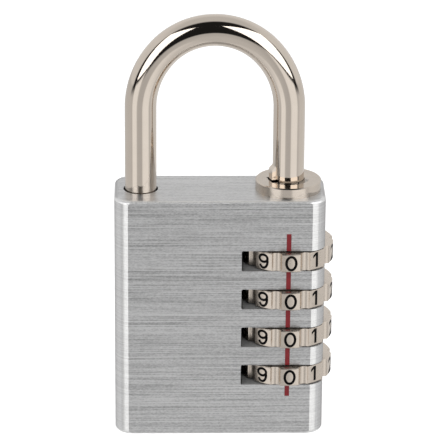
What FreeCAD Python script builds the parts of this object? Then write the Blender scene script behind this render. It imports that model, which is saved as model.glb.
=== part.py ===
import FreeCAD, Part
import math
import os
from Sketcher import Constraint

# Combination padlock, in mm: X to the right, Y to the rear, Z up, origin in the middle of the base.

os.makedirs("parts", exist_ok=True)
doc = FreeCAD.newDocument("combination_padlock")

ROWS = 4
DIGITS = 10
FULL_TURN = 360.0

# Driving dimensions

DRIVING = [
    # Block: the lowest row of dials stands at low_row, the highest head_room below the top, the rest between
    ("body_width", 40.0), ("body_depth", 15.0), ("body_height", 47.8),
    ("corner_round", 3.5), ("crease_lean", 15.0), ("edge_round", 0.6),
    ("low_row", 12.4), ("head_room", 12.0), ("slot_gap", 0.25), ("slot_corner", 0.3),
    # Legs: the long one from the right side, the short one from the left side
    ("spindle_offset", 7.0), ("toe_offset", 5.0), ("rod_round", 3.0),
    # Arch: its height above the block, and how its two bends differ from half of the leg spacing
    ("arch_top", 34.4), ("shoulder_ease", 2.0), ("crown_ease", 0.7),
    ("toe_depth", 6.3), ("toe_room", 0.9), ("toe_bevel", 0.6),
    # Ear: turned from the left to the front, and its foot sunk into the collar's notch
    ("ear_reach", 0.6), ("ear_width", 1.8), ("ear_height", 3.4), ("ear_slope", 0.6),
    ("ear_turn", 18.0), ("ear_sink", 0.6), ("root_sink", 0.6),
    ("well_depth", 14.0), ("well_bore", 1.7),
    # Number dials: dial_wall is what stands outside the bore, valley_depth what the round valleys take off it
    ("dial_height", 3.6), ("dial_wall", 3.3), ("valley_depth", 0.7), ("pad_spread", 23.0),
    ("dial_turn", 2.9), ("dial_bevel", 0.15),
    # Code rings: how far the gates reach past the rod, and the wall outside them
    ("gate_reach", 1.4), ("gate_width", 3.0), ("ring_wall", 1.1), ("web_height", 2.6), ("lug_ease", 0.2),
    ("spline_depth", 0.5), ("spline_width", 1.3), ("tooth_gap", 0.06),
    # Clearances: of what moves past, of what slides or turns close by, of what turns in a bore,
    # of what drops in, and of what is pressed in
    ("free_gap", 0.3), ("slide_gap", 0.1), ("run_gap", 0.05), ("fit_gap", 0.1), ("press_gap", 0.01),
    # Collar, and the ring that holds it, measured down from the top face
    ("flange_reach", 0.75), ("flange_height", 2.05), ("flange_bevel", 0.2),
    ("notch_reach", 0.7), ("notch_width", 3.4), ("notch_sink", 1.2),
    ("clip_level", 4.5), ("clip_height", 0.6), ("clip_reach", 0.4), ("clip_gap", 70.0),
    # Inner washers and springs
    ("floor_height", 2.6), ("seat_height", 0.5), ("washer_height", 0.45),
    ("disc_height", 0.6), ("disc_gauge", 0.3), ("wire_round", 0.22), ("coil_count", 9.0),
    ("leaf_gauge", 0.3), ("leaf_width", 1.2), ("bow_reach", 1.75), ("bow_flat", 0.6),
    # Channel of the click spring: how far outside the slots' ends, and how far above the top row
    ("channel_offset", 0.9), ("channel_round", 1.2), ("channel_top", 3.1), ("plug_height", 2.2),
    # Index line: how far it runs past the lowest and the highest slot
    ("line_width", 0.9), ("line_low", 2.35), ("line_high", 3.45), ("line_sink", 0.15), ("line_fill", 0.12),
]

sheet = doc.addObject("Spreadsheet::Sheet", "Sizes")
for place_in_sheet, (name, number) in enumerate(DRIVING, start=1):
    sheet.set("A%d" % place_in_sheet, name)
    sheet.set("B%d" % place_in_sheet, str(number))
    sheet.setAlias("B%d" % place_in_sheet, name)
doc.recompute()


class Size:
    """A number from the sheet, or made of such numbers, with the expression that gives it."""

    def __init__(self, value, text):
        self.value, self.text = value, text

    def join(self, other, sign, work):
        other = as_size(other)
        return Size(work(self.value, other.value), "(%s %s %s)" % (self.text, sign, other.text))

    def __add__(self, other):
        return self.join(other, "+", lambda a, b: a + b)

    def __sub__(self, other):
        return self.join(other, "-", lambda a, b: a - b)

    def __mul__(self, other):
        return self.join(other, "*", lambda a, b: a * b)

    def __truediv__(self, other):
        return self.join(other, "/", lambda a, b: a / b)

    def __radd__(self, other):
        return as_size(other) + self

    def __rsub__(self, other):
        return as_size(other) - self

    def __rmul__(self, other):
        return as_size(other) * self

    def __neg__(self):
        return as_size(0) - self


def as_size(number):
    return number if isinstance(number, Size) else Size(float(number), repr(float(number)))


def size(name):
    return Size(float(sheet.get(name)), "Sizes." + name)


def cosine(angle):
    angle = as_size(angle)
    return Size(math.cos(math.radians(angle.value)), "cos(%s)" % angle.text)


def sine(angle):
    angle = as_size(angle)
    return Size(math.sin(math.radians(angle.value)), "sin(%s)" % angle.text)


def root(number):
    return Size(math.sqrt(number.value), "sqrt(%s)" % number.text)


def polar(radius, angle):
    return radius * cosine(angle), radius * sine(angle)


# Sketches and features, each size bound to the sheet

def new_body(label):
    body = doc.addObject("PartDesign::Body", label)
    body.Label = label
    return body


def datum(body, role):
    return next(o for o in body.Origin.OriginFeatures if o.Role == role)


def bind(target, prop, number):
    number = as_size(number)
    target.setExpression(prop, number.text)


def sketch(body, name, plane="XY_Plane", level=0, x=0, turn=0):
    """A sketch at a level from a plane, its origin moved to x and turned about the upright there."""
    sk = body.newObject("Sketcher::SketchObject", body.Name + "_" + name)
    sk.AttachmentSupport = [(datum(body, plane), "")]
    sk.MapMode = "FlatFace"
    level, x, turn = as_size(level), as_size(x), as_size(turn)
    upright = FreeCAD.Vector(0, 0, 1) if plane == "XY_Plane" else FreeCAD.Vector(0, 1, 0)
    turned = FreeCAD.Rotation(upright, turn.value)
    sk.AttachmentOffset = FreeCAD.Placement(FreeCAD.Vector(x.value, 0, level.value), turned)
    bind(sk, "AttachmentOffset.Base.x", x)
    bind(sk, "AttachmentOffset.Base.z", level)
    bind(sk, "AttachmentOffset.Rotation.Angle", turn)
    return sk


def measure(sk, kind, number, *where):
    number = as_size(number)
    index = sk.addConstraint(Constraint(kind, *where, number.value))
    sk.setExpression("Constraints[%d]" % index, number.text)


def pin_point(sk, geo, pos, x, y):
    measure(sk, "DistanceX", x, -1, 1, geo, pos)
    measure(sk, "DistanceY", y, -1, 1, geo, pos)


def circle(sk, radius, x=0, y=0):
    radius, x, y = as_size(radius), as_size(x), as_size(y)
    centre = FreeCAD.Vector(x.value, y.value, 0)
    geo = sk.addGeometry(Part.Circle(centre, FreeCAD.Vector(0, 0, 1), radius.value), False)
    pin_point(sk, geo, 3, x, y)
    measure(sk, "Radius", radius, geo)


def outline(sk, points, closed=True):
    """Lines and arcs through points (x, y) or (x, y, radius): a radius bends the edge that starts there,
    to the left of its direction where it is positive."""
    spots = [(as_size(p[0]), as_size(p[1]), as_size(p[2]) if len(p) > 2 else None) for p in points]
    count = len(spots) if closed else len(spots) - 1
    ends = []
    for i in range(count):
        x0, y0, bend = spots[i]
        x1, y1, _ = spots[(i + 1) % len(spots)]
        a = FreeCAD.Vector(x0.value, y0.value, 0)
        b = FreeCAD.Vector(x1.value, y1.value, 0)
        if bend is None:
            geo = sk.addGeometry(Part.LineSegment(a, b), False)
            ends.append((geo, 1, 2))
            continue
        r = abs(bend.value)
        chord = b - a
        side = FreeCAD.Vector(-chord.y, chord.x, 0).normalize()
        rise = math.sqrt(max(r * r - chord.Length ** 2 / 4, 0))
        turn = 1 if bend.value > 0 else -1
        centre = (a + b) * 0.5 + side * rise * turn
        start = math.atan2((a - centre).y, (a - centre).x)
        stop = math.atan2((b - centre).y, (b - centre).x)
        if turn < 0:
            start, stop = stop, start
        if stop < start:
            stop += 2 * math.pi
        ring = Part.Circle(centre, FreeCAD.Vector(0, 0, 1), r)
        geo = sk.addGeometry(Part.ArcOfCircle(ring, start, stop), False)
        ends.append((geo, 1, 2) if turn > 0 else (geo, 2, 1))
        measure(sk, "Radius", bend if turn > 0 else -bend, geo)
    for i in range(count):
        geo, head, tail = ends[i]
        pin_point(sk, geo, head, spots[i][0], spots[i][1])
        if i + 1 < count or closed:
            after, start, _ = ends[(i + 1) % count]
            sk.addConstraint(Constraint("Coincident", geo, tail, after, start))
        else:
            pin_point(sk, geo, tail, spots[i + 1][0], spots[i + 1][1])


def box(sk, x0, x1, y0, y1):
    outline(sk, [(x0, y0), (x1, y0), (x1, y1), (x0, y1)])


def feature(kind, sk, name, length, both=False, back=False):
    body = sk.getParentGeoFeatureGroup()
    f = body.newObject("PartDesign::" + kind, body.Name + "_" + name)
    f.Profile = sk
    f.Reversed = back
    if both:
        f.SideType = "Symmetric"
    f.Length = as_size(length).value
    bind(f, "Length", length)
    before = sum(s.Volume for s in body.Shape.Solids) if kind == "Pocket" else None
    body.Tip = f
    doc.recompute()
    if before is not None and f.Shape.Volume > before - 1e-4:
        raise RuntimeError(f.Name + " takes nothing away")
    return f


def pad(sk, name, length, **sides):
    return feature("Pad", sk, name, length, **sides)


def pocket(sk, name, length, **sides):
    return feature("Pocket", sk, name, length, **sides)


def repeat_round(source, name, count):
    body = source.getParentGeoFeatureGroup()
    f = body.newObject("PartDesign::PolarPattern", body.Name + "_" + name)
    f.Originals = [source]
    f.Axis = (datum(body, "Z_Axis"), [""])
    f.Angle = FULL_TURN
    f.Occurrences = count
    body.Tip = f
    doc.recompute()
    return f


def repeat_up(source, name, count, step):
    body = source.getParentGeoFeatureGroup()
    f = body.newObject("PartDesign::LinearPattern", body.Name + "_" + name)
    f.Originals = [source]
    f.Direction = (datum(body, "Z_Axis"), [""])
    f.Length = (step * (count - 1)).value
    bind(f, "Length", step * (count - 1))
    f.Occurrences = count
    body.Tip = f
    doc.recompute()
    return f


def dress(kind, base, name, number, pick):
    """A fillet or chamfer on the edges that pick(edge) names."""
    body = base.getParentGeoFeatureGroup()
    names = ["Edge%d" % i for i, e in enumerate(base.Shape.Edges, start=1) if pick(e)]
    if not names:
        raise RuntimeError(name + " finds no edge")
    f = body.newObject("PartDesign::" + kind, body.Name + "_" + name)
    f.Base = (base, names)
    prop = "Radius" if kind == "Fillet" else "Size"
    setattr(f, prop, number.value)
    bind(f, prop, number)
    body.Tip = f
    doc.recompute()
    return f


def place(thing, x=0, y=0, z=0):
    for axis, number in zip("xyz", (x, y, z)):
        bind(thing, "Placement.Base." + axis, number)


def level_of(edge):
    box_ = edge.BoundBox
    return box_.ZMin if box_.ZLength < 1e-6 else None


def at_level(level):
    return lambda edge: level_of(edge) is not None and abs(level_of(edge) - level.value) < 1e-6


# Shared sizes

gap, slide, run = size("free_gap"), size("slide_gap"), size("run_gap")
fit, press = size("fit_gap"), size("press_gap")
half_width, half_depth = size("body_width") / 2, size("body_depth") / 2
top, front = size("body_height"), -half_depth
axis = half_width - size("spindle_offset")
short_leg = size("toe_offset") - half_width
rod = size("rod_round")

row_low = size("low_row")
pitch = (top - size("head_room") - row_low) / (ROWS - 1)

gate_round = rod + size("gate_reach")
bore = gate_round + size("ring_wall")
dial_round = bore + size("dial_wall")
well_round = gate_round + fit
stack_low = row_low - pitch / 2
stack_high = row_low + pitch * (ROWS - 0.5)
washer_low = stack_low - size("washer_height") - run
lug_top = stack_low + run - gap
lug_height = size("web_height") - size("lug_ease")
lug_round = gate_round - gap - fit
leg_end = lug_top - lug_height
neck_low = stack_high + size("disc_height") + run * 2
nose_low = lug_top + pitch * ROWS + run * 2
clip_low = top - size("clip_level")
seat_top = size("floor_height") + size("seat_height")
toe_end = top - size("toe_depth")
flange_top = top + size("flange_height")

# A valley is a round scoop that meets the dial's rim half_scoop to each side of its middle
half_scoop = (FULL_TURN / DIGITS - size("pad_spread")) / 2
valley_round = dial_round - size("valley_depth")
scoop_rise = dial_round * cosine(half_scoop) - valley_round
scoop_chord = dial_round * sine(half_scoop)
scoop_round = (scoop_chord * scoop_chord + scoop_rise * scoop_rise) / (scoop_rise * 2)
slot_height = size("dial_height") + size("slot_gap") * 2
slot_end = axis - dial_round - slide
channel_x = slot_end - size("channel_offset")
channel_y = -valley_round * sine(size("dial_turn"))


def row(k):
    """Height of the middle of dial k, counted from the top."""
    return row_low + pitch * (ROWS - k)


channel_end = row(1) + size("channel_top")
line_low = row(ROWS) - slot_height / 2 - size("line_low")
line_high = row(1) + slot_height / 2 + size("line_high")


# Body block

def build_body():
    body = new_body("body")
    spare = size("corner_round") * (1 - cosine(size("crease_lean")))
    sk = sketch(body, "plan")
    box(sk, -half_width, half_width, -half_depth - spare, half_depth + spare)
    solid = pad(sk, "block", top)
    upright = dress("Fillet", solid, "corners", size("corner_round"),
                    lambda e: e.BoundBox.ZLength > 1 and abs(abs(e.BoundBox.XMin) - half_width.value) < 1e-6)
    at_top, at_base = at_level(top), at_level(as_size(0))
    dress("Fillet", upright, "edges", size("edge_round") + spare, lambda e: at_top(e) or at_base(e))
    for name, side_low, side_high in (
        ("front", -half_depth - spare - gap, -half_depth),
        ("rear", half_depth, half_depth + spare + gap),
    ):
        sk = sketch(body, name + "_shape")
        box(sk, -half_width - gap, half_width + gap, side_low, side_high)
        pocket(sk, name + "_face", top, back=True)

    sk = sketch(body, "slot_shape", "XZ_Plane")
    half = slot_height / 2
    box(sk, slot_end, half_width + gap, row_low - half, row_low + half)
    slot = pocket(sk, "slot", size("body_depth") + gap * 2, both=True)
    slots = repeat_up(slot, "slots", ROWS, pitch)
    dress("Fillet", slots, "slot_corners", size("slot_corner"),
          lambda e: e.BoundBox.YLength > size("body_depth").value - 0.01
          and abs(e.BoundBox.XMin - slot_end.value) < 1e-6 and e.BoundBox.XLength < 1e-6)

    for name, radius, x, low in (
        ("bore", bore, axis, washer_low),
        ("well", well_round, axis, size("floor_height")),
        ("toe_hole", rod + gap, short_leg, toe_end - size("toe_room")),
    ):
        sk = sketch(body, name + "_shape", level=top)
        circle(sk, radius, x)
        pocket(sk, name, top - low)
    sk = sketch(body, "clip_shape", level=clip_low + size("clip_height") + run)
    circle(sk, bore + size("clip_reach"), axis)
    pocket(sk, "clip_groove", size("clip_height") + run * 2)
    sk = sketch(body, "channel_shape")
    circle(sk, size("channel_round"), channel_x, channel_y)
    pocket(sk, "channel", channel_end, back=True)
    sk = sketch(body, "line_shape", "XZ_Plane", level=half_depth)
    half = size("line_width") / 2
    box(sk, axis - half, axis + half, line_low, line_high)
    pocket(sk, "line_groove", size("line_sink"))
    return body


# Red index line, cut by the slots

def block(name, x, y, z, wide, deep, high):
    b = doc.addObject("Part::Box", name)
    for prop, number in (("Length", wide), ("Width", deep), ("Height", high)):
        setattr(b, prop, as_size(number).value)
        bind(b, prop, number)
    place(b, x, y, z)
    return b


def build_line():
    wide, deep = size("line_width") - press * 2, size("line_fill")
    strip = block("line_strip", axis - wide / 2, front + size("line_sink") - deep, line_low + press,
                  wide, deep, line_high - line_low - press * 2)
    cuts = []
    for k in range(1, ROWS + 1):
        tall = slot_height + press * 2
        cuts.append(block("line_cut_%d" % k, axis - wide, front - gap, row(k) - tall / 2,
                          wide * 2, size("line_sink") + gap * 2, tall))
    doc.recompute()
    cutter = doc.addObject("Part::MultiFuse", "line_cuts")
    cutter.Shapes = cuts
    line = doc.addObject("Part::Cut", "index_line")
    line.Base, line.Tool = strip, cutter
    line.Label = "index_line"
    doc.recompute()
    return line


# Shackle: a bent rod with a lug for each code ring and an ear on its long leg

def build_shackle():
    body = new_body("shackle")
    half = (axis - short_leg) / 2
    middle = axis - half
    side, crown = half + size("shoulder_ease"), half - size("crown_ease")
    across = (side - half) / (side - crown)
    upward = root(1 - across * across)
    spring_line = top + size("arch_top") - rod - crown - (side - crown) * upward
    reach = side * across - side + half
    rise = spring_line + side * upward
    sk = sketch(body, "path", "XZ_Plane")
    outline(sk, [
        (axis, leg_end), (axis, spring_line, side), (middle + reach, rise, crown),
        (middle - reach, rise, side), (short_leg, spring_line), (short_leg, toe_end),
    ], closed=False)
    section = sketch(body, "section", level=leg_end)
    circle(section, rod, axis, 0)
    pipe = body.newObject("PartDesign::AdditivePipe", "shackle_rod")
    pipe.Profile = section
    pipe.Spine = (sk, [])
    body.Tip = pipe
    doc.recompute()
    ends = (at_level(leg_end), at_level(toe_end))
    dress("Chamfer", pipe, "ends", size("toe_bevel"), lambda e: ends[0](e) or ends[1](e))

    sk = sketch(body, "lug_shape", level=lug_top)
    wide = size("gate_width") / 2 - gap
    deep = root(lug_round * lug_round - wide * wide)
    sunk = rod - size("root_sink")
    outline(sk, [(axis - wide, sunk), (axis + wide, sunk),
                 (axis + wide, deep, lug_round), (axis - wide, deep)])
    lug = pad(sk, "lug", lug_height, back=True)
    repeat_up(lug, "lugs", ROWS, pitch)

    low, high = flange_top - size("ear_sink"), flange_top - size("ear_sink") + size("ear_height")
    reach, slope = rod + size("ear_reach"), size("ear_slope")
    sk = sketch(body, "ear_shape", "XZ_Plane", x=axis, turn=size("ear_turn"))
    outline(sk, [(-sunk, low), (-reach, low), (-reach, high - slope), (-sunk, high + slope)])
    pad(sk, "ear", size("ear_width"), both=True)

    sk = sketch(body, "well_shape", level=leg_end)
    circle(sk, size("well_bore"), axis, 0)
    pocket(sk, "well", size("well_depth"), back=True)
    return body


# Collar with its neck, nose, notch and clip groove

def build_collar():
    body = new_body("collar")
    sk = sketch(body, "flange_shape", level=top)
    circle(sk, bore + size("flange_reach"), axis)
    flange = pad(sk, "flange", size("flange_height"))
    dress("Chamfer", flange, "rim", size("flange_bevel"), at_level(flange_top))
    sk = sketch(body, "neck_shape", level=top)
    circle(sk, bore - press, axis)
    pad(sk, "neck", top - neck_low, back=True)
    sk = sketch(body, "nose_shape", level=top)
    circle(sk, gate_round - gap, axis)
    pad(sk, "nose", top - nose_low, back=True)
    sk = sketch(body, "clip_shape", level=clip_low - run)
    circle(sk, bore + size("flange_reach"), axis)
    circle(sk, bore - size("clip_reach"), axis)
    pocket(sk, "clip_groove", size("clip_height") + run * 2, back=True)
    sk = sketch(body, "hole_shape", level=flange_top)
    circle(sk, rod + slide, axis)
    pocket(sk, "hole", flange_top - nose_low + gap)
    sk = sketch(body, "notch_shape", level=flange_top, x=axis, turn=size("ear_turn"))
    half = size("notch_width") / 2
    box(sk, -(rod + slide + size("notch_reach")), 0, -half, half)
    pocket(sk, "notch", size("notch_sink"))
    return body


# Round inner pieces

def washer(label, x, y, low, height, outer, inner=None):
    body = new_body(label)
    sk = sketch(body, "shape", level=low)
    circle(sk, outer, x, y)
    if inner is not None:
        circle(sk, inner, x, y)
    pad(sk, "disc", height)
    return body


def build_clip():
    body = new_body("retaining_ring")
    outer = bore + size("clip_reach") - run
    inner = bore - size("clip_reach") + run
    half = size("clip_gap") / 2
    sk = sketch(body, "shape", level=clip_low)
    xo, yo = polar(outer, half)
    xi, yi = polar(inner, half)
    outline(sk, [(-outer, 0, outer), (xo, -yo), (xi, -yi, -inner), (-inner, 0, -inner),
                 (xi, yi), (xo, yo, outer)])
    pad(sk, "ring", size("clip_height"))
    place(body, axis, 0, 0)
    return body


def build_disc_spring():
    body = new_body("disc_spring")
    low = stack_high + run
    inner, outer = gate_round - gap + fit, bore - fit
    gauge, tall = size("disc_gauge"), size("disc_height")
    sk = sketch(body, "shape", "XZ_Plane")
    outline(sk, [(inner, low + tall - gauge), (outer, low), (outer, low + gauge), (inner, low + tall)])
    f = body.newObject("PartDesign::Revolution", "disc_spring_turn")
    f.Profile = sk
    f.ReferenceAxis = (datum(body, "Z_Axis"), [""])
    f.Angle = FULL_TURN
    body.Tip = f
    place(body, axis, 0, 0)
    doc.recompute()
    return body


def build_shackle_spring():
    body = new_body("shackle_spring")
    wire = size("wire_round")
    tall = leg_end + size("well_depth") - seat_top - wire * 2 - run * 2
    sk = sketch(body, "wire", "XZ_Plane")
    circle(sk, wire, size("well_bore") - wire - gap, seat_top + wire + run)
    f = body.newObject("PartDesign::AdditiveHelix", "shackle_spring_coil")
    f.Profile = sk
    f.ReferenceAxis = (datum(body, "Z_Axis"), [""])
    f.Mode = "height-turns-angle"
    f.Height, f.Turns, f.Angle = tall.value, size("coil_count").value, 0
    bind(f, "Height", tall)
    bind(f, "Turns", size("coil_count"))
    body.Tip = f
    place(body, axis, 0, 0)
    doc.recompute()
    return body


# Click spring: a leaf with a bow at each dial

def build_click_spring():
    body = new_body("click_spring")
    gauge, reach, flat = size("leaf_gauge"), size("bow_reach"), size("bow_flat")
    half = size("leaf_width") / 2
    corner = scoop_round - root(scoop_round * scoop_round - half * half)
    bowed = axis - valley_round - corner - fit - gauge
    near = [(channel_x, size("plug_height") + run)]
    for k in range(ROWS, 0, -1):
        near += [(channel_x, row(k) - reach), (bowed, row(k) - flat),
                 (bowed, row(k) + flat), (channel_x, row(k) + reach)]
    near.append((channel_x, channel_end - run))
    far = [(x + gauge, z) for x, z in reversed(near)]
    sk = sketch(body, "shape", "XZ_Plane", level=-channel_y)
    outline(sk, near + far)
    pad(sk, "leaf", half * 2, both=True)
    return body


# Dials and code rings, drawn about their own axis

def build_dial(k):
    body = new_body("number_dial_%d" % k)
    half = size("dial_height") / 2
    sk = sketch(body, "rim", level=-half)
    circle(sk, dial_round)
    disc = pad(sk, "disc", half * 2)
    dress("Chamfer", disc, "edges", size("dial_bevel"), lambda e: level_of(e) is not None)
    sk = sketch(body, "hole_shape", level=half)
    circle(sk, bore + run)
    pocket(sk, "hole", half * 2)

    sk = sketch(body, "valley_shape", level=half)
    circle(sk, scoop_round, *polar(valley_round + scoop_round, size("dial_turn")))
    repeat_round(pocket(sk, "valley", half * 2), "valleys", DIGITS)

    wide = size("spline_width") / 2 - size("tooth_gap")
    tip = bore - run - size("spline_depth") + size("tooth_gap")
    sk = sketch(body, "tooth_shape", level=-half)
    box(sk, -wide, wide, tip, bore + size("spline_depth"))
    repeat_round(pad(sk, "tooth", half * 2), "teeth", DIGITS)
    place(body, axis, 0, row(k))
    return body


def build_ring(k):
    body = new_body("code_ring_%d" % k)
    low, high = -pitch / 2 + run, pitch / 2 - run
    sk = sketch(body, "wall", level=low)
    circle(sk, bore - run)
    pad(sk, "sleeve", high - low)
    sk = sketch(body, "chamber_shape", level=high)
    circle(sk, gate_round)
    pocket(sk, "chamber", high - low - size("web_height"))
    sk = sketch(body, "hole_shape", level=high)
    circle(sk, rod + gap)
    pocket(sk, "hole", high - low)
    sk = sketch(body, "gate_shape", level=high)
    half = size("gate_width") / 2
    deep = root(gate_round * gate_round - half * half)
    outline(sk, [(-half, 0), (half, 0), (half, deep, gate_round), (-half, deep)])
    pocket(sk, "gate", high - low)
    sk = sketch(body, "spline_shape", level=high)
    wide = size("spline_width") / 2
    box(sk, -wide, wide, bore - run - size("spline_depth"), bore + gap)
    repeat_round(pocket(sk, "spline", high - low), "splines", DIGITS)
    place(body, axis, 0, row(k))
    return body


rows = range(1, ROWS + 1)
nodes = [build_body(), build_line(), build_shackle(), build_collar(), build_clip(), build_disc_spring()]
nodes.append(washer("thrust_washer", axis, 0, washer_low, size("washer_height"), bore - fit, well_round))
nodes.append(washer("spring_seat", axis, 0, size("floor_height"), size("seat_height"), well_round - fit))
nodes.append(build_shackle_spring())
nodes.append(build_click_spring())
nodes.append(washer("channel_plug", channel_x, channel_y, run, size("plug_height") - run,
                    size("channel_round") - press))
nodes += [build_dial(k) for k in rows]
nodes += [build_ring(k) for k in rows]
doc.recompute()

for thing in doc.Objects:
    if "Invalid" in thing.State or "Error" in thing.State:
        raise RuntimeError("not computed: " + thing.Name)
for node in nodes:
    if node.Shape.isNull() or not node.Shape.isValid():
        raise RuntimeError("bad shape: " + node.Label)
    node.Shape.exportStep("parts/%s.step" % node.Label)
    print(node.Label, len(node.Shape.Solids), round(node.Shape.Volume, 3))
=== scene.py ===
import math

import bpy
from bpy.props import FloatProperty, FloatVectorProperty, PointerProperty
from mathutils import Matrix, Vector


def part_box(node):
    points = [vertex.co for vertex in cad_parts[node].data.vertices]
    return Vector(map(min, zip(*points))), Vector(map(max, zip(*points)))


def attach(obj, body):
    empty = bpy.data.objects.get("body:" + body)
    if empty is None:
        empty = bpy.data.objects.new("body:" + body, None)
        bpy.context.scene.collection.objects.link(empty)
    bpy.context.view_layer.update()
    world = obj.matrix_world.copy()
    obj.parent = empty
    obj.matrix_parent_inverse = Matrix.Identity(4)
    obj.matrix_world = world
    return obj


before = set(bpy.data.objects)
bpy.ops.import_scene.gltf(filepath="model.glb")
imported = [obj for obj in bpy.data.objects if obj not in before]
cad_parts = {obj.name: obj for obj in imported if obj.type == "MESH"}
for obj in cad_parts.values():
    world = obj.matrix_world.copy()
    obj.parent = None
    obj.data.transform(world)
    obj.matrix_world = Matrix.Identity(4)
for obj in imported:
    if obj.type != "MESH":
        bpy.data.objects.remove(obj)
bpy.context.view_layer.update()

bl_info = {
    "name": "Combination padlock",
    "version": (1, 0, 0),
    "blender": (4, 5, 0),
    "location": "View3D > Sidebar > Padlock",
    "description": "Finishes the metal of a four-dial padlock, inks its digits and sets up its studio",
    "category": "Object",
}

MM = 0.001
DIALS = (1, 2, 3, 4)
DIGITS = 10
INNER_STEEL = ("retaining_ring", "disc_spring", "thrust_washer", "spring_seat", "shackle_spring",
               "click_spring")

# The long leg: its axis, and half its thickness
LEG_X, LEG_RADIUS = 13 * MM, 3 * MM
# Seen from above, the block's sides run at a corner's radius round a core, given by half its width and half
# its depth. Metal within the first distance of the core is a wall of a slot or a bore, and metal past the
# second is the outside. Each pair of heights is where such walls start, where they stop below the top face,
# and where the mouths of the bores begin.
CORE_X, CORE_Y = 16.5 * MM, 4.12 * MM
WALL_WITHIN, OUTSIDE_PAST = 3.05 * MM, 3.35 * MM
WALLS_START, WALLS_STOP = (1 * MM, 3 * MM), (47.4 * MM, 47.6 * MM)
MOUTHS_START = (42 * MM, 44 * MM)

# Faces that turn this far up or down, by the height of their normal, are brushed as level ones
LEVEL_FROM = 0.7

# Noise keeps mostly to this range
NOISE_LOW, NOISE_HIGH = 0.3, 0.7
# Paint and ink pool in patches of this size
POOL = 0.8 * MM

# The oval strokes of the round digits: width, height and rise of each as shares of the digit's own width and
# height, and the chord that cuts an open one. The 6 is drawn as a 9 and turned upside down.
TAIL = (0.55, 0.16, -0.5, -0.3)
NINE = ((0.95, 0.62, 0.19, None), (0.95, 1, 0, TAIL))
BOWLS = {0: ((1, 1, 0, None),), 6: NINE, 8: ((0.88, 0.52, 0.24, None), (1, 0.58, -0.21, None)), 9: NINE}
OVAL_CORNERS = 44
# The digit 1: its height as a share of the others', how far below its top the flag leaves the stem, in
# widths of the stem, the way that the flag runs, and how far the whole moves to stand on its pad
ONE_HEIGHT, ONE_FORK = 0.95, 1.05
ONE_FLAG = (-0.62 * MM, -0.52 * MM, 0)
ONE_SHIFT = (-0.22 * MM, 0.15 * MM, 0)
# The other digits come from the built-in typeface: the width of a 2 as a share of a 0's, and what is added
# to its thin strokes all round, in the typeface's own unit
TYPED_WIDTH, TYPED_WEIGHT = 0.93, 0.013
# Each digit is cut upright into strips, so that it can bend round its dial. It starts out flat at a distance
# from the dial, and ends as a film.
STRIP, CUTS = 0.2 * MM, range(-5, 6)
START_OFF, FILM_DEPTH = 0.6 * MM, 0.04 * MM
# An edge this near to the fork still counts as above it, and points this near are one when a stroke is cut
CLOSE, ONE_POINT = 0.01 * MM, 0.001 * MM

# Name of each softbox, azimuth of its middle from the camera's side, height of its middle above the horizon,
# and its two spans, in degrees as seen from the lock
SOFTBOXES = (("softbox_left", -46.5, 25.25, 37, 48.5), ("softbox_right", 43, 26.5, 50, 49.5))
SOFTBOX_REACH = 0.8
SOFTBOX_AIM = Vector((0, 0, 70 * MM))
FLOOR_DROP = 0.02 * MM

# Small tools


def linear(code):
    """Linear colour of an sRGB hex code."""
    parts = [int(code[i:i + 2], 16) / 255 for i in (1, 3, 5)]
    return [p / 12.92 if p <= 0.04045 else ((p + 0.055) / 1.055) ** 2.4 for p in parts]


def opaque(values):
    return (*values, 1.0)


def grey(value):
    return (value, value, value, 1.0)


def colour(name, text, code):
    return FloatVectorProperty(name=name, description=text, subtype="COLOR", size=3, min=0, max=1,
                               default=linear(code))


def length(name, text, millimetres):
    return FloatProperty(name=name, description=text, default=millimetres * MM, min=0, precision=5,
                         subtype="DISTANCE", unit="LENGTH")


def angle(name, text, degrees):
    return FloatProperty(name=name, description=text, default=math.radians(degrees), subtype="ANGLE")


def add(tree, kind, inputs=None, **settings):
    """Adds a shader node with its settings. Each input takes a value, a socket, or a node, which stands for
    its first output in use."""
    made = tree.nodes.new("ShaderNode" + kind)
    for key, value in settings.items():
        setattr(made, key, value)
    for key, value in (inputs or {}).items():
        if isinstance(value, bpy.types.Node):
            value = next(socket for socket in value.outputs if socket.enabled)
        if isinstance(value, bpy.types.NodeSocket):
            tree.links.new(value, made.inputs[key])
        else:
            made.inputs[key].default_value = value
    return made


def shaded(tree, tint, shade):
    """Multiplies a colour by one number."""
    factors = add(tree, "CombineColor", {0: shade, 1: shade, 2: shade})
    return add(tree, "Mix", {0: 1.0, 6: tint, 7: factors}, data_type="RGBA", blend_type="MULTIPLY")


def blank_material(name):
    made = bpy.data.materials.new(name)
    made.use_nodes = True
    made.node_tree.nodes.clear()
    return made, made.node_tree


def put_on(material, *names):
    """Gives CAD nodes a material in the slot that they have."""
    for name in names:
        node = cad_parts[name]
        if not node.material_slots:
            node.data.materials.append(material)
        for slot in node.material_slots:
            slot.material = material


def deselect():
    if bpy.context.object and bpy.context.object.mode != "OBJECT":
        bpy.ops.object.mode_set(mode="OBJECT")
    bpy.ops.object.select_all(action="DESELECT")


def join(context, things):
    """Joins objects into the first of them."""
    deselect()
    for thing in things:
        thing.select_set(True)
    context.view_layer.objects.active = things[0]
    if len(things) > 1:
        bpy.ops.object.join()
    return context.object


# Sizes and colours that a user would change


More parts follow.
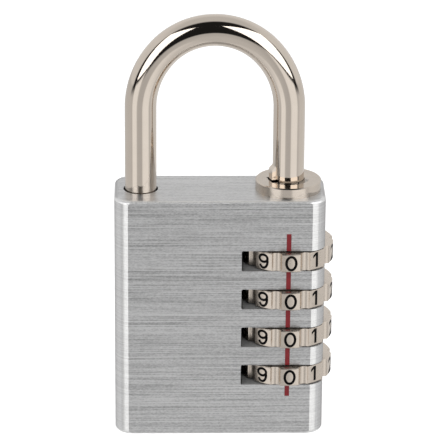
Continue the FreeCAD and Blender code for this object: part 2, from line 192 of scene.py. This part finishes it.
class PadlockFinish(bpy.types.PropertyGroup):
    aluminium: colour("Aluminium", "Colour of the bare brushed aluminium", "#DCDCDC")
    # This edge colour, a touch lighter than the bare aluminium, is a painted highlight on the rounded edges
    # and corners
    edge: colour("Burnished edge", "Colour of the aluminium where handling has polished its edges", "#DEDEDD")
    nickel: colour("Nickel", "Colour of the bright nickel plate", "#D7CCC0")
    steel: colour("Spring steel", "Colour of the plain inner steel", "#B4B4B6")
    brass: colour("Brass", "Colour of the turned code rings", "#D9B26A")
    red: colour("Index red", "Colour of the paint in the index line", "#86262C")
    grain: length("Grain spacing", "Distance between the lines of the brushed grain", 0.17)
    grain_run: length("Grain run", "Length of one line of the grain", 24.0)


class PadlockDigits(bpy.types.PropertyGroup):
    height: length("Height", "Height of a digit", 3.12)
    width: length("Width", "Width of the digit 0", 2.36)
    stroke: length("Stroke", "Width of a stroke of the round digits", 0.5)
    stem: length("Stem", "Width of the stem of the digit 1", 0.54)
    film: length("Film", "How far the ink stands off a pad", 0.012)
    ink: colour("Ink", "Colour of the ink", "#060505")
    turn: angle("Turn", "Angle of the digit 0 past the index line", 2.9)


class PadlockStage(bpy.types.PropertyGroup):
    lens: FloatProperty(name="Lens", description="Focal length of the camera, in mm", default=245.3)
    distance: length("Distance", "From the camera to the point that it looks at", 581.45)
    azimuth: angle("Azimuth", "Camera's angle round the lock", 1.399)
    elevation: angle("Elevation", "Camera's angle above the floor", 20.597)
    roll: angle("Roll", "Camera's tilt about its own line of sight", 0.431)
    aim: FloatVectorProperty(name="Aim", description="Point that the camera looks at",
                             default=(0.768 * MM, 0, 40.632 * MM), subtype="TRANSLATION")
    floor: length("Floor", "Side of the square floor", 2400.0)
    softbox: FloatProperty(name="Softbox radiance", description="Brightness of the two softboxes",
                           default=2.15, min=0)


# Materials


def brushed_aluminium(finish):
    """Bare aluminium, brushed along X on its faces and round its upright corners: grey, with long fine lines
    of lighter and darker metal, and a sheen drawn out across them. Its rounded edges and upright corners are
    painted a touch lighter, as a painted highlight. Real brush lines are a few hundredths of a millimetre
    apart, so these are drawn as coarse as they need to be to show."""
    made, tree = blank_material("brushed_aluminium")
    place = add(tree, "TexCoord").outputs["Object"]
    normal = add(tree, "NewGeometry").outputs["Normal"]
    spot = add(tree, "SeparateXYZ", {0: place}).outputs
    facing = add(tree, "SeparateXYZ", {0: normal}).outputs
    upward = add(tree, "Math", {0: facing["Z"]}, operation="ABSOLUTE")
    sideways = add(tree, "Math", {0: facing["X"]}, operation="ABSOLUTE")
    level = add(tree, "Math", {0: upward, 1: LEVEL_FROM}, operation="GREATER_THAN")

    # How far each point of the metal is from the core of the block, seen from above
    over = {}
    for axis, core in (("X", CORE_X), ("Y", CORE_Y)):
        off = add(tree, "Math", {0: spot[axis]}, operation="ABSOLUTE")
        off = add(tree, "Math", {0: off, 1: core}, operation="SUBTRACT")
        over[axis] = add(tree, "Math", {0: off, 1: 0.0}, operation="MAXIMUM")
    over = add(tree, "CombineXYZ", over)
    reach = add(tree, "VectorMath", {0: over}, operation="LENGTH")

    # Each ramp: what it follows, where it starts and stops, and its value before and after
    ramps = {}
    for name, follows, start, stop, first, last in (
        # Rounded edges of the top and the bottom, and upright corners as far as they face front or back
        ("edge_starts", upward, 0.12, 0.3, 0.0, 1.0),
        ("edge_stops", upward, 0.96, 0.995, 1.0, 0.0),
        ("corner_starts", sideways, 0.12, 0.2, 0.0, 1.0),
        ("corner_stops", sideways, 0.58, 0.64, 1.0, 0.0),
        # The lines are strong on the front and the back, weaker on the top, and faint where the block turns
        ("strong_ahead", sideways, 0.05, 0.2, 1.0, 0.35),
        ("strong_upright", upward, 0.1, 0.3, 1.0, 0.9),
        # All faces start from this level of shade, and the level faces are painted lighter than the upright
        # ones: painted light
        ("plain", upward, 0.1, 0.3, 1.11, 1.27),
        # A painted glint lightens the rounded upper corners
        ("painted_glint", facing["Z"], 0.2, 0.4, 0.0, 0.25),
        ("turned", sideways, 0.1, 0.25, 0.0, 1.0),
        # Painted shade: the right side is painted a little darker
        ("painted_shade_right", facing["X"], 0.64, 0.76, 1.0, 0.8),
        # Slots and bores, which are rougher and carry painted shade, darkest in the mouths of the bores at
        # the top
        ("within", reach, WALL_WITHIN, OUTSIDE_PAST, 1.0, 0.0),
        ("below_top", spot["Z"], *WALLS_STOP, 1.0, 0.0),
        ("above_bottom", spot["Z"], *WALLS_START, 0.0, 1.0),
        ("darkening", spot["Z"], *MOUTHS_START, 0.6, 0.85),
        # The corners as drawn are flatter than round on the right and a trace rounder on the left
        ("flatness", facing["X"], -0.1, 0.1, -0.04, 0.2),
    ):
        ramps[name] = add(tree, "MapRange", {0: follows, 1: start, 2: stop, 3: first, 4: last})
    edge = add(tree, "Math", {0: ramps["edge_starts"], 1: ramps["edge_stops"]}, operation="MULTIPLY")
    corner = add(tree, "Math", {0: ramps["corner_starts"], 1: ramps["corner_stops"]}, operation="MULTIPLY")
    painted_edge_highlight = add(tree, "Math", {0: edge, 1: corner}, operation="MAXIMUM")
    cave = add(tree, "Math", {0: ramps["within"], 1: ramps["below_top"]}, operation="MULTIPLY")
    cave = add(tree, "Math", {0: cave, 1: ramps["above_bottom"]}, operation="MULTIPLY")

    run, across = 1 / finish.grain_run, 1 / finish.grain
    grains, marks = [], []
    # Each layer of lines: how wide they are, how long they run and how much finer lines they hold, then the
    # range of the noise that shows, how much it darkens and lightens, and whether it stays within that
    for wide, long, detail, low, high, darker, lighter, bound in (
        (1.0, 1.0, 2.0, 0.25, 0.75, -0.41, 0.43, False),
        (2.2, 0.5, 1.0, 0.24, 0.44, -0.2, 0.02, True),
        (7.0, 1.5, 2.0, NOISE_LOW, NOISE_HIGH, -0.05, 0.05, True),
        (1.2, 0.02, 1.0, NOISE_LOW, NOISE_HIGH, -0.17, 0.17, True),
    ):
        sides = add(tree, "Mapping", {"Vector": place, "Scale": (run / long, run / long, across / wide)})
        flats = add(tree, "Mapping", {"Vector": place, "Scale": (run / long, across / wide, run / long)})
        drawn = add(tree, "Mix", {0: level, 4: sides, 5: flats}, data_type="VECTOR")
        grains.append(add(tree, "TexNoise", {"Vector": drawn, "Scale": 1.0, "Detail": detail,
                                             "Roughness": 0.6}))
        marks.append(add(tree, "MapRange", {0: grains[-1], 1: low, 2: high, 3: darker, 4: lighter},
                         clamp=bound))
    hairs_and_grooves = add(tree, "Math", {0: marks[0], 1: marks[1]}, operation="ADD")
    bands_and_pits = add(tree, "Math", {0: marks[2], 1: marks[3]}, operation="ADD")
    depth = add(tree, "Math", {0: ramps["strong_ahead"], 1: ramps["strong_upright"]}, operation="MULTIPLY")
    # Painted glint: the rounded upper corners, where they turn to the sides, are painted lighter
    painted_glint = add(tree, "Math", {0: ramps["painted_glint"], 1: edge}, operation="MULTIPLY")
    painted_glint = add(tree, "Math", {0: painted_glint, 1: ramps["turned"]}, operation="MULTIPLY")
    # Inside the slots and bores, where no brush reaches, the cut metal is dull, and its colour is darkened as
    # painted shade
    painted_recess_shade = add(tree, "Math", {0: cave, 1: ramps["darkening"]}, operation="MULTIPLY")
    lit = add(tree, "Math", {0: 1.0, 1: painted_recess_shade}, operation="SUBTRACT")
    shade = hairs_and_grooves
    for operation, value in (("ADD", bands_and_pits), ("MULTIPLY", depth), ("ADD", ramps["plain"]),
                             ("ADD", painted_glint), ("MULTIPLY", ramps["painted_shade_right"]), ("MULTIPLY", lit)):
        shade = add(tree, "Math", {0: shade, 1: value}, operation=operation)
    # The rounded edges and upright corners take the lighter edge colour: a painted highlight
    metal = add(tree, "Mix", {0: painted_edge_highlight, 6: opaque(finish.aluminium), 7: opaque(finish.edge)},
                data_type="RGBA")

    lean = add(tree, "Math", {0: facing["Y"]}, operation="SIGN")
    for factor in (corner, ramps["flatness"]):
        lean = add(tree, "Math", {0: lean, 1: factor}, operation="MULTIPLY")
    leant = add(tree, "VectorMath", {0: normal, 1: add(tree, "CombineXYZ", {"Y": lean})}, operation="ADD")
    leant = add(tree, "VectorMath", {0: leant}, operation="NORMALIZE")
    bump = add(tree, "Bump", {"Strength": 0.3, "Distance": 0.01 * MM, "Height": grains[0],
                              "Normal": leant})
    # The sheen is drawn out up and down the faces, and along X on the rounded edges
    along = add(tree, "Mix", {0: edge, 4: (0.0, 0.05, 1.0), 5: (1.0, 0.05, 0.05)}, data_type="VECTOR")
    rough = add(tree, "MapRange", {0: edge, 3: 0.36, 4: 0.5})
    rough = add(tree, "MapRange", {0: cave, 3: rough, 4: 0.85})
    # How much of the sheen is left where the metal is seen along its face, first upright and then level
    glance = add(tree, "Mix", {0: level, 6: grey(0.6), 7: grey(0.12)}, data_type="RGBA")
    shader = add(tree, "BsdfPrincipled", {
        "Base Color": shaded(tree, metal, shade), "Metallic": 1.0, "Roughness": rough, "Anisotropic": 0.85,
        "Specular Tint": glance, "Normal": bump, "Tangent": along})
    add(tree, "OutputMaterial", {"Surface": shader})
    return made


def smooth_metal(name, tint, roughness, wear, spacing, sunk=0, glance=1.0):
    """Plated, drawn or turned metal: bright and warm or cold by its tint, with faint patches of less polish
    that are duller and, by its wear, darker. Where sunk is given, the metal dips towards the long leg over
    that width round the leg's hole."""
    made, tree = blank_material(name)
    place = add(tree, "TexCoord").outputs["Object"]
    polish = add(tree, "TexNoise", {"Vector": place, "Scale": 1 / spacing, "Detail": 3.0})
    rough = add(tree, "MapRange", {0: polish, 1: NOISE_LOW, 2: NOISE_HIGH,
                                   3: roughness * 0.8, 4: roughness * 1.2})
    shade = add(tree, "MapRange", {0: polish, 1: NOISE_LOW, 2: NOISE_HIGH, 3: 1 - wear, 4: 1.0})
    inputs = {"Base Color": shaded(tree, opaque(tint), shade), "Metallic": 1.0, "Roughness": rough,
              "Specular Tint": grey(glance)}
    if sunk:
        off = add(tree, "VectorMath", {0: place, 1: (LEG_X, 0, 0)}, operation="SUBTRACT")
        off = add(tree, "VectorMath", {0: off, 1: (1, 1, 0)}, operation="MULTIPLY")
        reach = add(tree, "VectorMath", {0: off}, operation="LENGTH")
        dip = add(tree, "MapRange", {0: reach, 1: LEG_RADIUS, 2: LEG_RADIUS + sunk,
                                     3: -0.6 * sunk, 4: 0.0})
        inputs["Normal"] = add(tree, "Bump", {"Strength": 1.0, "Distance": 1.0, "Height": dip})
    add(tree, "OutputMaterial", {"Surface": add(tree, "BsdfPrincipled", inputs)})
    return made


def paint(name, tint, roughness, shine):
    """Enamel or ink: a dull even film, a little darker where it pools."""
    made, tree = blank_material(name)
    place = add(tree, "TexCoord").outputs["Object"]
    pool = add(tree, "TexNoise", {"Vector": place, "Scale": 1 / POOL, "Detail": 2.0})
    shade = add(tree, "MapRange", {0: pool, 1: NOISE_LOW, 2: NOISE_HIGH, 3: 0.85, 4: 1.05})
    shader = add(tree, "BsdfPrincipled", {"Base Color": shaded(tree, opaque(tint), shade),
                                          "Roughness": roughness, "Specular IOR Level": shine})
    add(tree, "OutputMaterial", {"Surface": shader})
    return made


# Operators


class PADLOCK_OT_finish_block(bpy.types.Operator):
    """Brushes the aluminium block and its channel plug, and paints the index line"""
    bl_idname = "padlock.finish_block"
    bl_label = "Finish block"

    def execute(self, context):
        finish = context.scene.padlock_finish
        put_on(brushed_aluminium(finish), "body", "channel_plug")
        # Brushed into its groove and wiped: a half-matt dark red
        put_on(paint("index_enamel", finish.red, roughness=0.45, shine=0.3), "index_line")
        return {"FINISHED"}


class PADLOCK_OT_finish_shackle(bpy.types.Operator):
    """Plates the shackle, its collar and the number dials"""
    bl_idname = "padlock.finish_shackle"
    bl_label = "Finish plated parts"

    def execute(self, context):
        finish = context.scene.padlock_finish
        # Plated over a polished rod: nearly a mirror
        put_on(smooth_metal("bright_nickel_plate", finish.nickel, roughness=0.07, wear=0.03,
                            spacing=3 * MM), "shackle")
        # Plated over a turned flange: a soft mirror, with a rounded sink round the leg
        put_on(smooth_metal("satin_nickel_plate", finish.nickel, roughness=0.16, wear=0.06,
                            spacing=1.5 * MM, sunk=1 * MM, glance=0.8), "collar")
        # Tumbled before plating: highlights spread wide, and the edges of the pads are soft
        put_on(smooth_metal("tumbled_nickel_plate", finish.nickel, roughness=0.29, wear=0.08,
                            spacing=1 * MM), *["number_dial_%d" % k for k in DIALS])
        return {"FINISHED"}


class PADLOCK_OT_finish_inner(bpy.types.Operator):
    """Finishes the springs, the washers and the brass code rings inside"""
    bl_idname = "padlock.finish_inner"
    bl_label = "Finish inner parts"

    def execute(self, context):
        finish = context.scene.padlock_finish
        # Rolled and drawn, left bare: grey and a little blotched
        put_on(smooth_metal("spring_steel", finish.steel, roughness=0.3, wear=0.12, spacing=0.8 * MM),
               *INNER_STEEL)
        # Turned and left bare: yellow, with a soft sheen
        put_on(smooth_metal("turned_brass", finish.brass, roughness=0.28, wear=0.1, spacing=0.9 * MM),
               *["code_ring_%d" % k for k in DIALS])
        return {"FINISHED"}


class PADLOCK_OT_ink_digits(bpy.types.Operator):
    """Inks the digits 0 to 9 on the pads of each number dial"""
    bl_idname = "padlock.ink_digits"
    bl_label = "Ink digits"

    def execute(self, context):
        sizes = context.scene.padlock_digits
        glyphs = []
        stretch = None
        for digit in range(DIGITS):
            deselect()
            if digit == 1:
                glyph = self.draw_one(context, sizes)
            elif digit in BOWLS:
                glyph = self.draw_bowls(context, sizes, digit)
            else:
                glyph, stretch = self.draw_typed(context, sizes, digit, stretch)
            self.lay_on_pad(glyph, sizes, digit)
            glyphs.append(glyph)
        first = join(context, glyphs)
        if not first.data.polygons:
            raise RuntimeError("the digits came out empty")
        first.data.materials.clear()
        # Pad-printed: a flat black film with hardly any gloss
        first.data.materials.append(paint("black_ink", sizes.ink, roughness=0.5, shine=0.07))
        for k in DIALS:
            piece = first
            if k > DIALS[0]:
                piece = first.copy()
                piece.data = first.data.copy()
                context.collection.objects.link(piece)
                drop = (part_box("number_dial_%d" % k)[0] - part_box("number_dial_1")[0]).z
                piece.data.transform(Matrix.Translation((0, 0, drop)))
            piece.name = piece.data.name = "dial_digits_%d" % k
            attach(piece, "dial_%d" % k)
        return {"FINISHED"}

    def lay_on_pad(self, glyph, sizes, digit):
        """Wraps a flat digit on its pad of the first dial, as a film."""
        low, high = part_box("number_dial_1")
        bpy.ops.object.mode_set(mode="EDIT")
        for cut in CUTS:
            bpy.ops.mesh.select_all(action="SELECT")
            bpy.ops.mesh.bisect(plane_co=(cut * STRIP, 0, 0), plane_no=(1, 0, 0))
        bpy.ops.object.mode_set(mode="OBJECT")
        turn = math.radians(-90) + sizes.turn + 2 * math.pi * digit / DIGITS
        outward = Vector((math.cos(turn), math.sin(turn), 0))
        glyph.rotation_euler = (math.pi / 2, 0, turn + math.pi / 2)
        glyph.location = (low + high) / 2 + outward * ((high.y - low.y) / 2 + START_OFF)
        wrap = glyph.modifiers.new("wrap", "SHRINKWRAP")
        wrap.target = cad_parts["number_dial_1"]
        wrap.wrap_method = "PROJECT"
        wrap.use_project_z = True
        wrap.use_positive_direction = False
        wrap.use_negative_direction = True
        wrap.wrap_mode = "ABOVE_SURFACE"
        wrap.offset = sizes.film
        film = glyph.modifiers.new("film", "SOLIDIFY")
        film.thickness = FILM_DEPTH
        film.offset = -1
        bpy.ops.object.modifier_apply(modifier="wrap")
        bpy.ops.object.modifier_apply(modifier="film")
        bpy.ops.object.transform_apply(location=True, rotation=True, scale=True)

    def draw_typed(self, context, sizes, digit, stretch):
        """A digit of the built-in typeface, with the stretch that the first such digit needs."""
        bpy.ops.object.text_add(location=(0, 0, 0))
        text = context.object
        text.data.body = str(digit)
        text.data.align_x = "CENTER"
        text.data.resolution_u = 8
        text.data.offset = TYPED_WEIGHT
        bpy.ops.object.convert(target="MESH")
        glyph = context.object
        spots = [corner.co for corner in glyph.data.vertices]
        x0, x1 = min(p.x for p in spots), max(p.x for p in spots)
        y0, y1 = min(p.y for p in spots), max(p.y for p in spots)
        if stretch is None:
            stretch = (TYPED_WIDTH * sizes.width / (x1 - x0), sizes.height / (y1 - y0))
        middle = Vector(((x0 + x1) / 2, (y0 + y1) / 2, 0))
        glyph.data.transform(Matrix.Diagonal((*stretch, 1, 1)) @ Matrix.Translation(-middle))
        return glyph, stretch

    def draw_bowls(self, context, sizes, digit):
        """A digit made of oval strokes: 0, 6, 8 or 9."""
        ovals = []
        for wide, high, rise, chord in BOWLS[digit]:
            deselect()
            bpy.ops.mesh.primitive_circle_add(vertices=OVAL_CORNERS, radius=1, fill_type="NOTHING",
                                              location=(0, 0, 0))
            oval = context.object
            x, y = sizes.width * wide / 2, sizes.height * high / 2
            bpy.ops.object.mode_set(mode="EDIT")
            bpy.ops.mesh.select_all(action="SELECT")
            bpy.ops.transform.resize(value=(x, y, 1))
            bpy.ops.mesh.extrude_region_move()
            bpy.ops.transform.resize(value=((x - sizes.stroke) / x, (y - sizes.stroke) / y, 1))
            bpy.ops.mesh.select_all(action="SELECT")
            bpy.ops.transform.translate(value=(0, sizes.height * rise, 0))
            if chord:
                # The stroke is kept to the lower right of the chord, from its right side to its open end
                across, up, back, down = chord
                start = Vector((across * sizes.width, up * sizes.height, 0))
                end = Vector((back * sizes.width, down * sizes.height, 0))
                away = (end - start).cross(Vector((0, 0, 1))).normalized()
                bpy.ops.mesh.bisect(plane_co=start, plane_no=away, clear_outer=True, threshold=ONE_POINT)
            if digit == 6:
                bpy.ops.mesh.select_all(action="SELECT")
                bpy.ops.transform.resize(value=(-1, -1, 1), center_override=(0, 0, 0))
            bpy.ops.object.mode_set(mode="OBJECT")
            if not oval.data.polygons:
                raise RuntimeError("the digit %d came out wrong" % digit)
            ovals.append(oval)
        glyph = join(context, ovals)
        bpy.ops.object.mode_set(mode="EDIT")
        bpy.ops.mesh.select_all(action="SELECT")
        bpy.ops.mesh.normals_make_consistent(inside=False)
        bpy.ops.object.mode_set(mode="OBJECT")
        if glyph.data.polygons[0].normal.z < 0:
            glyph.data.flip_normals()
        return glyph

    def draw_one(self, context, sizes):
        """The digit 1: a plain stem with a slanted flag at its top left, and no foot."""
        bpy.ops.mesh.primitive_plane_add(size=1, location=(0, 0, 0))
        one = context.object
        height = ONE_HEIGHT * sizes.height
        fork = height / 2 - ONE_FORK * sizes.stem
        bpy.ops.object.mode_set(mode="EDIT")
        bpy.ops.mesh.select_all(action="SELECT")
        bpy.ops.transform.resize(value=(sizes.stem, height, 1))
        bpy.ops.mesh.bisect(plane_co=(0, fork, 0), plane_no=(0, 1, 0))
        bpy.ops.mesh.select_all(action="DESELECT")
        bpy.ops.object.mode_set(mode="OBJECT")
        # The flag grows out of the stem's left side above the fork
        for side in one.data.edges:
            ends = [one.data.vertices[i].co for i in side.vertices]
            side.select = all(end.x < 0 and end.y > fork - CLOSE for end in ends)
        bpy.ops.object.mode_set(mode="EDIT")
        bpy.ops.mesh.select_mode(type="EDGE")
        bpy.ops.mesh.extrude_region_move(TRANSFORM_OT_translate={"value": ONE_FLAG})
        bpy.ops.mesh.select_all(action="SELECT")
        bpy.ops.transform.translate(value=ONE_SHIFT)
        bpy.ops.object.mode_set(mode="OBJECT")
        if len(one.data.polygons) != 3:
            raise RuntimeError("the digit 1 came out wrong")
        return one


class PADLOCK_OT_set_stage(bpy.types.Operator):
    """Lays the floor and sets the softboxes, the surroundings and the camera"""
    bl_idname = "padlock.set_stage"
    bl_label = "Set stage"

    def execute(self, context):
        stage = context.scene.padlock_stage
        self.lay_floor(context, stage)
        self.hang_softboxes(context, stage)
        self.paint_surroundings(context)
        self.place_camera(context, stage)
        return {"FINISHED"}

    def lay_floor(self, context, stage):
        deselect()
        bpy.ops.mesh.primitive_plane_add(size=stage.floor, location=(0, 0, -FLOOR_DROP))
        floor = context.object
        floor.name = "floor"
        # A sheet of matt paper, lit through: white and without gloss
        made, tree = blank_material("matt_white_sheet")
        lit = add(tree, "BsdfDiffuse", {"Color": grey(0.9)})
        lift = add(tree, "Emission", {"Color": grey(1), "Strength": 0.52})
        add(tree, "OutputMaterial", {"Surface": add(tree, "AddShader", {0: lit, 1: lift})})
        floor.data.materials.append(made)
        # The surroundings below the horizon are what the metal sees of the floor, so only the camera sees it
        floor.visible_glossy = floor.visible_diffuse = floor.visible_shadow = False
        floor.visible_transmission = False

    def hang_softboxes(self, context, stage):
        for name, azimuth, elevation, wide, high in SOFTBOXES:
            a, e = math.radians(azimuth), math.radians(elevation)
            away = Vector((math.sin(a) * math.cos(e), -math.cos(a) * math.cos(e), math.sin(e)))
            deselect()
            bpy.ops.object.light_add(type="AREA", location=away * SOFTBOX_REACH + SOFTBOX_AIM)
            lamp = context.object
            lamp.name = lamp.data.name = name
            lamp.rotation_euler = away.to_track_quat("Z", "Y").to_euler()
            lamp.data.shape = "RECTANGLE"
            lamp.data.size = 2 * SOFTBOX_REACH * math.tan(math.radians(wide / 2))
            lamp.data.size_y = 2 * SOFTBOX_REACH * math.tan(math.radians(high / 2))
            lamp.data.energy = stage.softbox * math.pi * lamp.data.size * lamp.data.size_y
            lamp.visible_camera = False

    def paint_surroundings(self, context):
        """White to the camera. To all else a studio: light walls behind the lock and a dark room on the
        camera's side, and below the horizon the floor, lighter at the foot of each softbox."""
        world = bpy.data.worlds.new("studio")
        world.use_nodes = True
        tree = world.node_tree
        tree.nodes.clear()
        # Azimuth from the camera's side and height above the horizon, in degrees
        way = add(tree, "SeparateXYZ", {0: add(tree, "TexCoord").outputs["Generated"]}).outputs
        ahead = add(tree, "Math", {0: way["Y"], 1: -1.0}, operation="MULTIPLY")
        azimuth = add(tree, "Math", {0: way["X"], 1: ahead}, operation="ARCTAN2")
        azimuth = add(tree, "Math", {0: azimuth}, operation="DEGREES")
        elevation = add(tree, "Math", {0: way["Z"]}, operation="ARCSINE")
        elevation = add(tree, "Math", {0: elevation}, operation="DEGREES")
        side = add(tree, "Math", {0: azimuth}, operation="ABSOLUTE")
        # Each ramp: what it follows, where it starts and stops, and its value before and after
        ramps = {}
        for name, follows, start, stop, first, last in (
            ("horizon", elevation, -3, 0, 0.0, 1.0),
            ("walls", elevation, 35, 60, 0.82, 0.67),
            ("behind", way["Y"], -0.26, -0.08, 0.0, 1.0),
            ("ground", elevation, -40, -12, 0.72, 0.64),
            ("ground_right", azimuth, 66, 85, 0.0, 0.12),
            ("ground_left", azimuth, -85, -66, 0.03, 0.0),
            ("ground_ahead", side, 14, 30, -0.05, 0.0),
            ("left_starts", azimuth, -66, -58, 0.0, 1.0),
            ("left_stops", azimuth, -32, -24, 1.0, 0.0),
            ("right_starts", azimuth, 8, 16, 0.0, 1.0),
            ("right_stops", azimuth, 56, 66, 1.0, 0.0),
            ("glow", elevation, -55, -16, 0.05, 0.42),
            # Towards the horizon the ground falls into shade: late at the feet of the softboxes, sooner
            # elsewhere, and not at all beside and behind the lock
            ("shade_at_feet", elevation, -4, -0.5, 1.0, 0.0),
            ("shade_elsewhere", elevation, -10, -2, 1.0, 0.0),
            ("beside", side, 74, 92, 0.0, 1.0),
        ):
            ramps[name] = add(tree, "MapRange", {0: follows, 1: start, 2: stop, 3: first, 4: last},
                              interpolation_type="SMOOTHSTEP")
        upper = add(tree, "Math", {0: ramps["walls"], 1: ramps["behind"]}, operation="MULTIPLY")
        upper = add(tree, "Math", {0: 0.015, 1: upper}, operation="ADD")
        left = add(tree, "Math", {0: ramps["left_starts"], 1: ramps["left_stops"]}, operation="MULTIPLY")
        right = add(tree, "Math", {0: ramps["right_starts"], 1: ramps["right_stops"]}, operation="MULTIPLY")
        feet = add(tree, "Math", {0: left, 1: right}, operation="ADD")
        glow = add(tree, "Math", {0: feet, 1: ramps["glow"]}, operation="MULTIPLY")
        beyond = add(tree, "Math", {0: ramps["ground_right"], 1: ramps["ground_left"]}, operation="ADD")
        ground = add(tree, "Math", {0: ramps["ground"], 1: beyond}, operation="ADD")
        patches = add(tree, "Math", {0: glow, 1: ramps["ground_ahead"]}, operation="ADD")
        ground = add(tree, "Math", {0: ground, 1: patches}, operation="ADD")
        lit = add(tree, "Math", {0: ramps["beside"], 1: ramps["shade_elsewhere"]}, operation="MAXIMUM")
        near = add(tree, "Math", {0: feet, 1: ramps["shade_at_feet"]}, operation="MULTIPLY")
        lit = add(tree, "Math", {0: near, 1: lit}, operation="MAXIMUM")
        lower = add(tree, "Math", {0: ground, 1: lit}, operation="MULTIPLY")
        studio = add(tree, "Mix", {0: ramps["horizon"], 2: lower, 3: upper})
        seen = add(tree, "LightPath").outputs["Is Camera Ray"]
        level = add(tree, "Mix", {0: seen, 2: studio, 3: 1.0})
        add(tree, "OutputWorld", {"Surface": add(tree, "Background", {"Color": grey(1),
                                                                      "Strength": level})})
        context.scene.world = world

    def place_camera(self, context, stage):
        az, el, roll = stage.azimuth, stage.elevation, stage.roll
        forward = Vector((math.sin(az) * math.cos(el), math.cos(az) * math.cos(el), -math.sin(el)))
        level = Vector((math.cos(az), -math.sin(az), 0))
        upright = level.cross(forward)
        right = level * math.cos(roll) + upright * math.sin(roll)
        up = upright * math.cos(roll) - level * math.sin(roll)
        turn = Matrix((right, up, -forward)).transposed()
        deselect()
        bpy.ops.object.camera_add(location=Vector(stage.aim) - forward * stage.distance,
                                  rotation=turn.to_euler())
        camera = context.object
        camera.data.lens = stage.lens
        camera.data.sensor_width = 36
        camera.data.clip_start = 10 * MM
        context.scene.camera = camera
        context.scene.view_settings.view_transform = "Standard"


class PADLOCK_PT_sidebar(bpy.types.Panel):
    """Lists the padlock's steps and sizes"""
    bl_idname = "PADLOCK_PT_sidebar"
    bl_label = "Padlock"
    bl_space_type = "VIEW_3D"
    bl_region_type = "UI"
    bl_category = "Padlock"

    def draw(self, context):
        for operator in OPERATORS:
            self.layout.operator(operator.bl_idname)
        for key in GROUPS:
            group = getattr(context.scene, key)
            for value in group.__annotations__:
                self.layout.prop(group, value)


OPERATORS = (PADLOCK_OT_finish_block, PADLOCK_OT_finish_shackle, PADLOCK_OT_finish_inner,
             PADLOCK_OT_ink_digits, PADLOCK_OT_set_stage)
GROUPS = {"padlock_finish": PadlockFinish, "padlock_digits": PadlockDigits, "padlock_stage": PadlockStage}


def register():
    for kind in (*GROUPS.values(), *OPERATORS, PADLOCK_PT_sidebar):
        bpy.utils.register_class(kind)
    for key, group in GROUPS.items():
        setattr(bpy.types.Scene, key, PointerProperty(type=group))


def unregister():
    for key in GROUPS:
        delattr(bpy.types.Scene, key)
    for kind in (PADLOCK_PT_sidebar, *reversed(OPERATORS), *reversed(GROUPS.values())):
        bpy.utils.unregister_class(kind)


def main():
    register()
    bpy.ops.padlock.finish_block()
    bpy.ops.padlock.finish_shackle()
    bpy.ops.padlock.finish_inner()
    bpy.ops.padlock.ink_digits()
    bpy.ops.padlock.set_stage()


if __name__ == "__main__":
    main()
